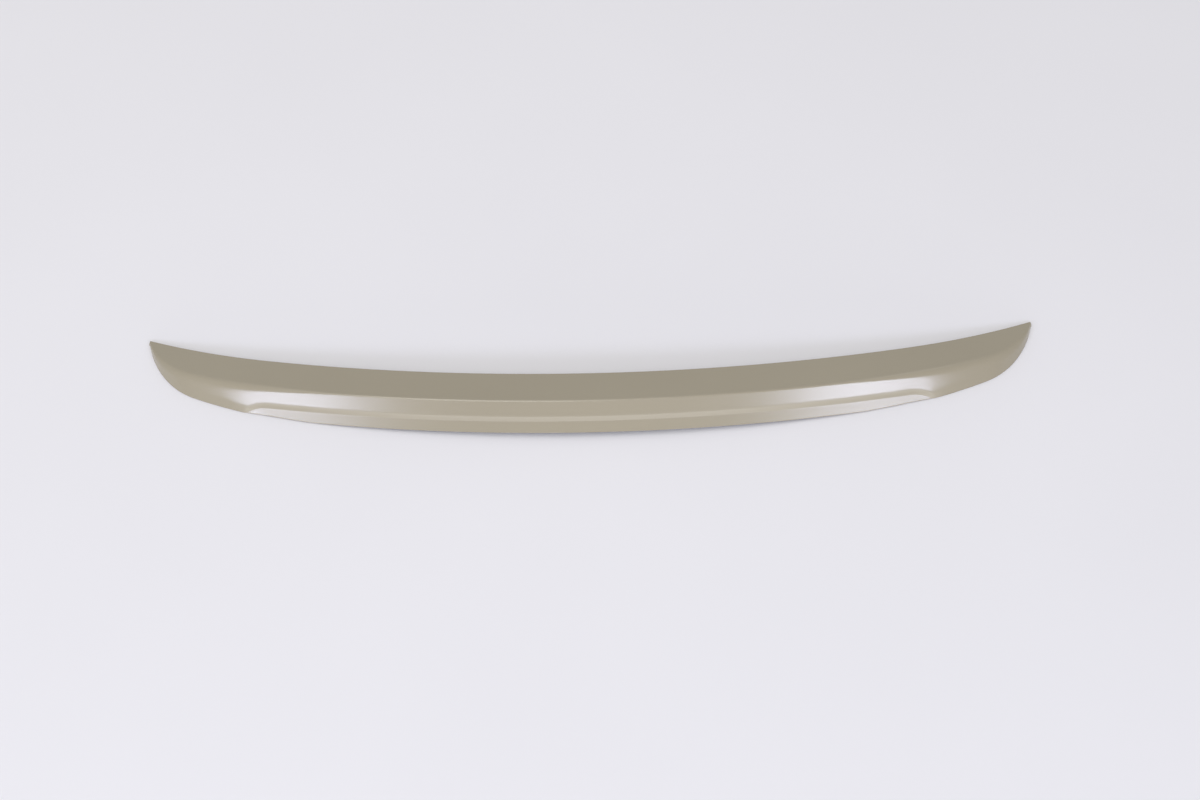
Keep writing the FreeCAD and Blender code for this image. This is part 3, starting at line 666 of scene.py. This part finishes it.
# %% Gloss and orange peel
SATIN_SCALE, SATIN_DETAIL = 42.0, 3.0
SATIN_SMOOTH, SATIN_ROUGH = 0.36, 0.44
MIST_DULL = 0.25          # added roughness inside
PEEL_SCALE, PEEL_DETAIL = 420.0, 1.0
PEEL_STRENGTH = 0.06
PEEL_HEIGHT = 0.0004
dulled = nodes.new("ShaderNodeMath")
dulled.operation = "MULTIPLY_ADD"
dulled.inputs[1].default_value = MIST_DULL
links.new(inside.outputs["Fac"], dulled.inputs[0])
satin = spread(noise(SATIN_SCALE, SATIN_DETAIL), SATIN_SMOOTH, SATIN_ROUGH)
links.new(satin, dulled.inputs[2])
links.new(dulled.outputs["Value"], shader.inputs["Roughness"])
peel = nodes.new("ShaderNodeBump")
peel.inputs["Strength"].default_value = PEEL_STRENGTH
peel.inputs["Distance"].default_value = PEEL_HEIGHT
links.new(noise(PEEL_SCALE, PEEL_DETAIL), peel.inputs["Height"])
links.new(peel.outputs["Normal"], shader.inputs["Normal"])
shader.inputs["Specular IOR Level"].default_value = 0.1
shader.inputs["Coat Weight"].default_value = 1.0
shader.inputs["Coat Roughness"].default_value = 0.21
shader.inputs["Coat IOR"].default_value = 1.65
joined.materials.clear()
joined.materials.append(paint)
print("paint nodes:", len(nodes))

# %% [markdown]
# ## Floor
#
# The spoiler lies on plain white paper. A backdrop that curves up behind would do as well, but one
# large matte plane is enough here. A real sheet is never quite even, so a wide, faint noise varies
# the white by a few hundredths.

# %% Floor
FLOOR_SIZE = 14.0         # metres
PAPER = (0.83, 0.82, 0.845, 1.0)
PAPER_SHADE = (0.80, 0.79, 0.815, 1.0)
WAVE_SCALE = 2.5          # soft waves in the paper, per metre
PAPER_GAP = 0.0002        # the paper lies this much under the part
floor_mesh = bpy.data.meshes.new("floor")
edge = FLOOR_SIZE / 2.0
corners = [(-edge, -edge), (edge, -edge), (edge, edge), (-edge, edge)]
floor_mesh.from_pydata([(x, y, -PAPER_GAP) for x, y in corners], [], [(0, 1, 2, 3)])
floor = bpy.data.objects.new("floor", floor_mesh)
bpy.context.scene.collection.objects.link(floor)
paper = bpy.data.materials.new("white_paper")
paper.use_nodes = True
paper_nodes, paper_links = paper.node_tree.nodes, paper.node_tree.links
paper_shader = paper_nodes["Principled BSDF"]
paper_place = paper_nodes.new("ShaderNodeTexCoord")
paper_waves = paper_nodes.new("ShaderNodeTexNoise")
paper_waves.inputs["Scale"].default_value = WAVE_SCALE
paper_tints = paper_nodes.new("ShaderNodeValToRGB")
paper_tints.color_ramp.elements[0].color = PAPER_SHADE
paper_tints.color_ramp.elements[1].color = PAPER
paper_links.new(paper_place.outputs["Object"], paper_waves.inputs["Vector"])
paper_links.new(paper_waves.outputs["Fac"], paper_tints.inputs["Fac"])
paper_links.new(paper_tints.outputs["Color"], paper_shader.inputs["Base Color"])
paper_shader.inputs["Roughness"].default_value = 0.9
paper_shader.inputs["Specular IOR Level"].default_value = 0.1
floor_mesh.materials.append(paper)
print("floor:", FLOOR_SIZE, "m square")

# %% [markdown]
# ## Camera
#
# The part is seen from behind and above, about 55 degrees over the floor and two metres away, a
# little turned and a little tilted. A constraint could aim the camera at the part, but it leaves no
# room for the tilt. So its axes are built from those angles and written straight into its matrix.

# %% Camera
CAMERA_TARGET = Vector((0.0150, -0.02645, 0.0))
CAMERA_DISTANCE = 2.1316
CAMERA_RISE = math.radians(55.0)
CAMERA_YAW = math.radians(2.013)
CAMERA_ROLL = math.radians(-2.856)


def heading(azimuth, rise):
    """Unit vector from the part outwards; azimuth is measured from the rear, to the right."""
    level = math.cos(rise)
    return Vector((math.sin(azimuth) * level, -math.cos(azimuth) * level, math.sin(rise)))


camera_data = bpy.data.cameras.new("camera")
camera_data.sensor_width = 36.0
camera_data.lens = 50.4
camera = bpy.data.objects.new("camera", camera_data)
bpy.context.scene.collection.objects.link(camera)
back = heading(CAMERA_YAW, CAMERA_RISE)
right = Vector((math.cos(CAMERA_YAW), math.sin(CAMERA_YAW), 0.0))
up = back.cross(right)
rolled_right = right * math.cos(CAMERA_ROLL) + up * math.sin(CAMERA_ROLL)
rolled_up = up * math.cos(CAMERA_ROLL) - right * math.sin(CAMERA_ROLL)
turned = Matrix((rolled_right, rolled_up, back)).transposed().to_4x4()
camera.matrix_world = Matrix.Translation(CAMERA_TARGET + back * CAMERA_DISTANCE) @ turned
bpy.context.scene.camera = camera
print("camera at", [round(c, 3) for c in camera.matrix_world.translation])

# %% [markdown]
# ## Light
#
# Two softboxes stand to the left and right of the camera. They give the long soft highlights near
# the ends of the rear face. A real softbox is brighter in its middle than at its rim, so each is
# made of two area lights; that lets the highlights fade out slowly. A long low board lights the
# panel's steep shoulder, which is why it shows as a pale line. A long light overhead draws a thin
# pale line along the lip. Two weak lights, one high in front and one on the far side, and a pale
# world fill the rest, so the shadows stay weak.

# %% Lights
DAYLIGHT = (0.76, 0.80, 1.0)
WHITE = (1.0, 0.99, 0.975)
WORLD_COLOUR = (0.98, 0.98, 0.985, 1.0)
WORLD_STRENGTH = 0.56
LIGHTS = (
    # name, azimuth and rise in degrees, distance, width and height in metres, watts, tint
    ("left_centre", -37.1, 21.0, 4.0, 0.94, 0.56, 15.6, DAYLIGHT),
    ("left_rim", -37.1, 21.5, 4.1, 1.46, 0.95, 12.9, DAYLIGHT),
    ("right_centre", 30.7, 23.0, 4.0, 0.86, 0.58, 15.9, DAYLIGHT),
    ("right_rim", 31.2, 23.5, 4.1, 1.38, 0.97, 13.9, DAYLIGHT),
    ("low_board", 0.0, 6.0, 10.0, 15.0, 2.0, 215.0, WHITE),
    ("overhead", -90.0, 78.0, 5.0, 3.7, 1.6, 46.0, WHITE),
    ("high_front", -20.0, 54.0, 5.0, 2.4, 1.6, 32.0, WHITE),
    ("far_side", 180.0, 50.0, 5.0, 4.0, 1.5, 16.0, WHITE),
)


def softbox(name, azimuth, rise, distance, width, height, power, tint):
    """Area light aimed at the origin."""
    data = bpy.data.lights.new(name, "AREA")
    data.shape = "RECTANGLE"
    data.size = width
    data.size_y = height
    data.energy = power
    data.color = tint
    light = bpy.data.objects.new(name, data)
    bpy.context.scene.collection.objects.link(light)
    away = heading(math.radians(azimuth), math.radians(rise))
    light.location = away * distance
    light.rotation_euler = away.to_track_quat("Z", "Y").to_euler()


for row in LIGHTS:
    softbox(*row)
world = bpy.data.worlds.new("studio")
world.use_nodes = True
background = world.node_tree.nodes["Background"]
background.inputs["Color"].default_value = WORLD_COLOUR
background.inputs["Strength"].default_value = WORLD_STRENGTH
bpy.context.scene.world = world
bpy.context.scene.view_settings.view_transform = "Standard"
